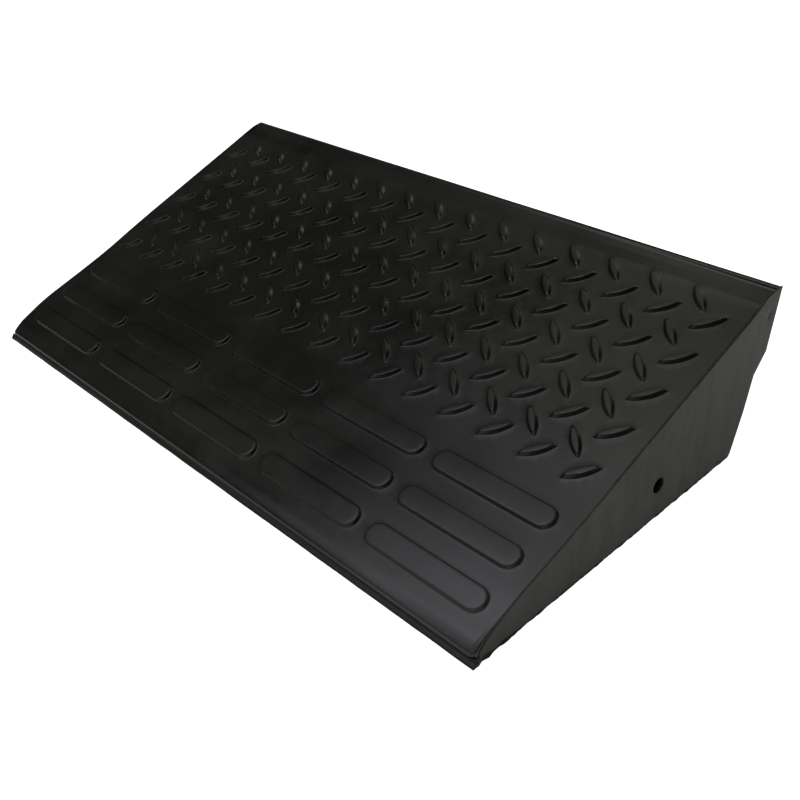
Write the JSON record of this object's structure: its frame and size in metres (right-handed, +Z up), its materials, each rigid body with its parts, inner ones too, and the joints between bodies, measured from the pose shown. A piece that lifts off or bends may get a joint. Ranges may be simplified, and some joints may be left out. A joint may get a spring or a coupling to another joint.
{
  "type": "portable wheelchair kerb ramp",
  "caption": "Wedge-shaped rubber kerb ramp module with raised lug and bar tread, hollow ribbed underside, undercut kerb side and a sliding joining bolt.",
  "frame": {"origin": "bottom centre of the bounding box, on the road surface", "axes": "+X along the kerb, +Y from the toe up the slope towards the kerb, +Z up"},
  "size_m": [0.6032, 0.322, 0.122],
  "materials": {
    "tread_rubber": "moulded, semi-matte with a light bloom",
    "body_rubber": "moulded, matte",
    "plated_steel": "zinc plated"
  },
  "bodies": {
    "ramp": {"tread_cover": "tread_rubber", "toe_strip": "body_rubber", "rear_wall": "body_rubber", "left_end_wall": "body_rubber", "right_end_wall": "body_rubber", "cross_rib_1": "body_rubber", "cross_rib_2": "body_rubber", "cross_rib_3": "body_rubber", "cross_rib_4": "body_rubber", "cross_rib_5": "body_rubber", "front_long_rib": "body_rubber", "rear_long_rib": "body_rubber", "left_bolt_sleeve": "plated_steel", "right_bolt_sleeve": "plated_steel", "captive_nut": "plated_steel"},
    "washer": {"bolt_washer": "plated_steel"},
    "bolt": {"joining_bolt": "plated_steel"}
  },
  "joints": [
    {"name": "bolt_slide", "type": "slide", "parent": "ramp", "child": "washer", "axis": [-1, 0, 0], "range_m": [0, 0.0358]},
    {"name": "bolt_spin", "type": "hinge", "parent": "washer", "child": "bolt", "pos_m": [-0.229, 0.0242, 0.0271], "axis": [-1, 0, 0], "continuous": true}
  ]
}
